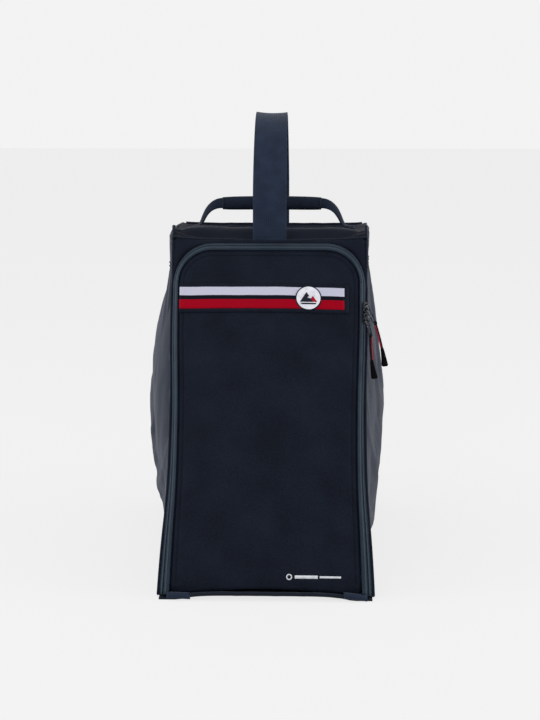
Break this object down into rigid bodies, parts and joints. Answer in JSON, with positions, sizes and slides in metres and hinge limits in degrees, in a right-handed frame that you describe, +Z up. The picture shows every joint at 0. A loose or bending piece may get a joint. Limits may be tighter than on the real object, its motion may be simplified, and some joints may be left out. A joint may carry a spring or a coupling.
{
  "type": "ski boot bag",
  "caption": "Wedge-shaped fabric bag for a pair of ski boots, opened by a zipped front flap, with a carry handle and a long strap over the top.",
  "frame": {"origin": "on the floor, midway between the side seams and midway along the base", "axes": "+Z up, front flap towards -Y, +X to the right seen from the front"},
  "size_m": [0.276, 0.3868, 0.505],
  "materials": {
    "navy_ripstop": "matte woven polyester",
    "grey_blue_side_fabric": "matte woven polyester",
    "lining_fabric": "plain",
    "base_board": "matte",
    "zipper_tape": "woven tape",
    "nylon_coil": "satin",
    "webbing": "ribbed webbing",
    "binding_tape": "grosgrain",
    "striped_ribbon": "woven satin ribbon",
    "patch": "moulded soft patch",
    "slider_metal": "dark satin",
    "link_wire": "satin black",
    "pull_ribbon": "woven",
    "pull_rubber": "matte"
  },
  "bodies": {
    "bag": {"back_binding_left": "binding_tape", "back_binding_right": "binding_tape", "back_panel": "navy_ripstop", "base_board": "base_board", "bottom_binding_back": "binding_tape", "bottom_binding_front": "binding_tape", "bottom_binding_left": "binding_tape", "bottom_binding_right": "binding_tape", "bottom_panel": "navy_ripstop", "front_surround": "navy_ripstop", "handle_foot_left": "webbing", "handle_foot_right": "webbing", "side_panel_left": "grey_blue_side_fabric", "side_panel_right": "grey_blue_side_fabric", "side_yoke_left": "grey_blue_side_fabric", "side_yoke_right": "grey_blue_side_fabric", "strap_foot_back": "webbing", "strap_foot_front": "webbing", "top_binding_back": "binding_tape", "top_binding_front": "binding_tape", "top_binding_left": "binding_tape", "top_binding_right": "binding_tape", "top_panel": "navy_ripstop", "zip_coil_outer": "nylon_coil", "zip_end_tab_left": "webbing", "zip_end_tab_right": "webbing", "zip_tape_outer": "zipper_tape"},
    "flap": {"flap_panel": "navy_ripstop", "flap_lining": "lining_fabric", "zip_tape_flap": "zipper_tape", "zip_coil_flap": "nylon_coil", "stripe_ribbon": "striped_ribbon", "badge_patch": "patch"},
    "slider_upper": {"slider_upper": "slider_metal"},
    "slider_lower": {"slider_lower": "slider_metal"},
    "link_upper": {"pull_link_upper": "link_wire"},
    "link_lower": {"pull_link_lower": "link_wire"},
    "pull_upper": {"pull_ribbon_upper": "pull_ribbon", "pull_end_upper": "pull_rubber"},
    "pull_lower": {"pull_ribbon_lower": "pull_ribbon", "pull_end_lower": "pull_rubber"},
    "carry_handle": {"handle_webbing": "webbing", "handle_grip": "webbing"},
    "strap": {"strap_webbing": "webbing"}
  },
  "joints": [
    {"name": "flap_hinge", "type": "hinge", "parent": "bag", "child": "flap", "pos_m": [0, -0.1858, 0.00688], "axis": [1, 0, 0], "range_deg": [0, 100], "deforming": ["zip_tape_flap", "zip_coil_flap"]},
    {"name": "upper_slider_slide", "type": "slide", "parent": "bag", "child": "slider_upper", "axis": [0, 0.411, 0.9116], "range_m": [0, 0.02]},
    {"name": "lower_slider_slide", "type": "slide", "parent": "bag", "child": "slider_lower", "axis": [0, 0.411, 0.9116], "range_m": [-0.235, 0]},
    {"name": "upper_link_hinge", "type": "hinge", "parent": "slider_upper", "child": "link_upper", "pos_m": [0.10878, -0.0526, 0.29231], "axis": [-0.5043, -0.8242, -0.2576], "range_deg": [0, 105]},
    {"name": "upper_pull_hinge", "type": "hinge", "parent": "link_upper", "child": "pull_upper", "pos_m": [0.11807, -0.05322, 0.27609], "axis": [-0.5974, -0.7965, 0.0937], "range_deg": [0, 60]},
    {"name": "lower_link_hinge", "type": "hinge", "parent": "slider_lower", "child": "link_lower", "pos_m": [0.10878, -0.05765, 0.28109], "axis": [-0.6111, -0.7631, 0.2103], "range_deg": [0, 105]},
    {"name": "lower_pull_hinge", "type": "hinge", "parent": "link_lower", "child": "pull_lower", "pos_m": [0.11247, -0.06521, 0.26439], "axis": [-0.6148, -0.7389, 0.2757], "range_deg": [0, 60]},
    {"name": "handle_swing", "type": "hinge", "parent": "bag", "child": "carry_handle", "pos_m": [0, 0.08985, 0.3766], "axis": [1, 0, 0], "range_deg": [-70, 70]},
    {"name": "strap_flop", "type": "hinge", "parent": "bag", "child": "strap", "pos_m": [0, 0.0916, 0.3858], "axis": [0, 1, 0], "range_deg": [-75, 75]}
  ]
}
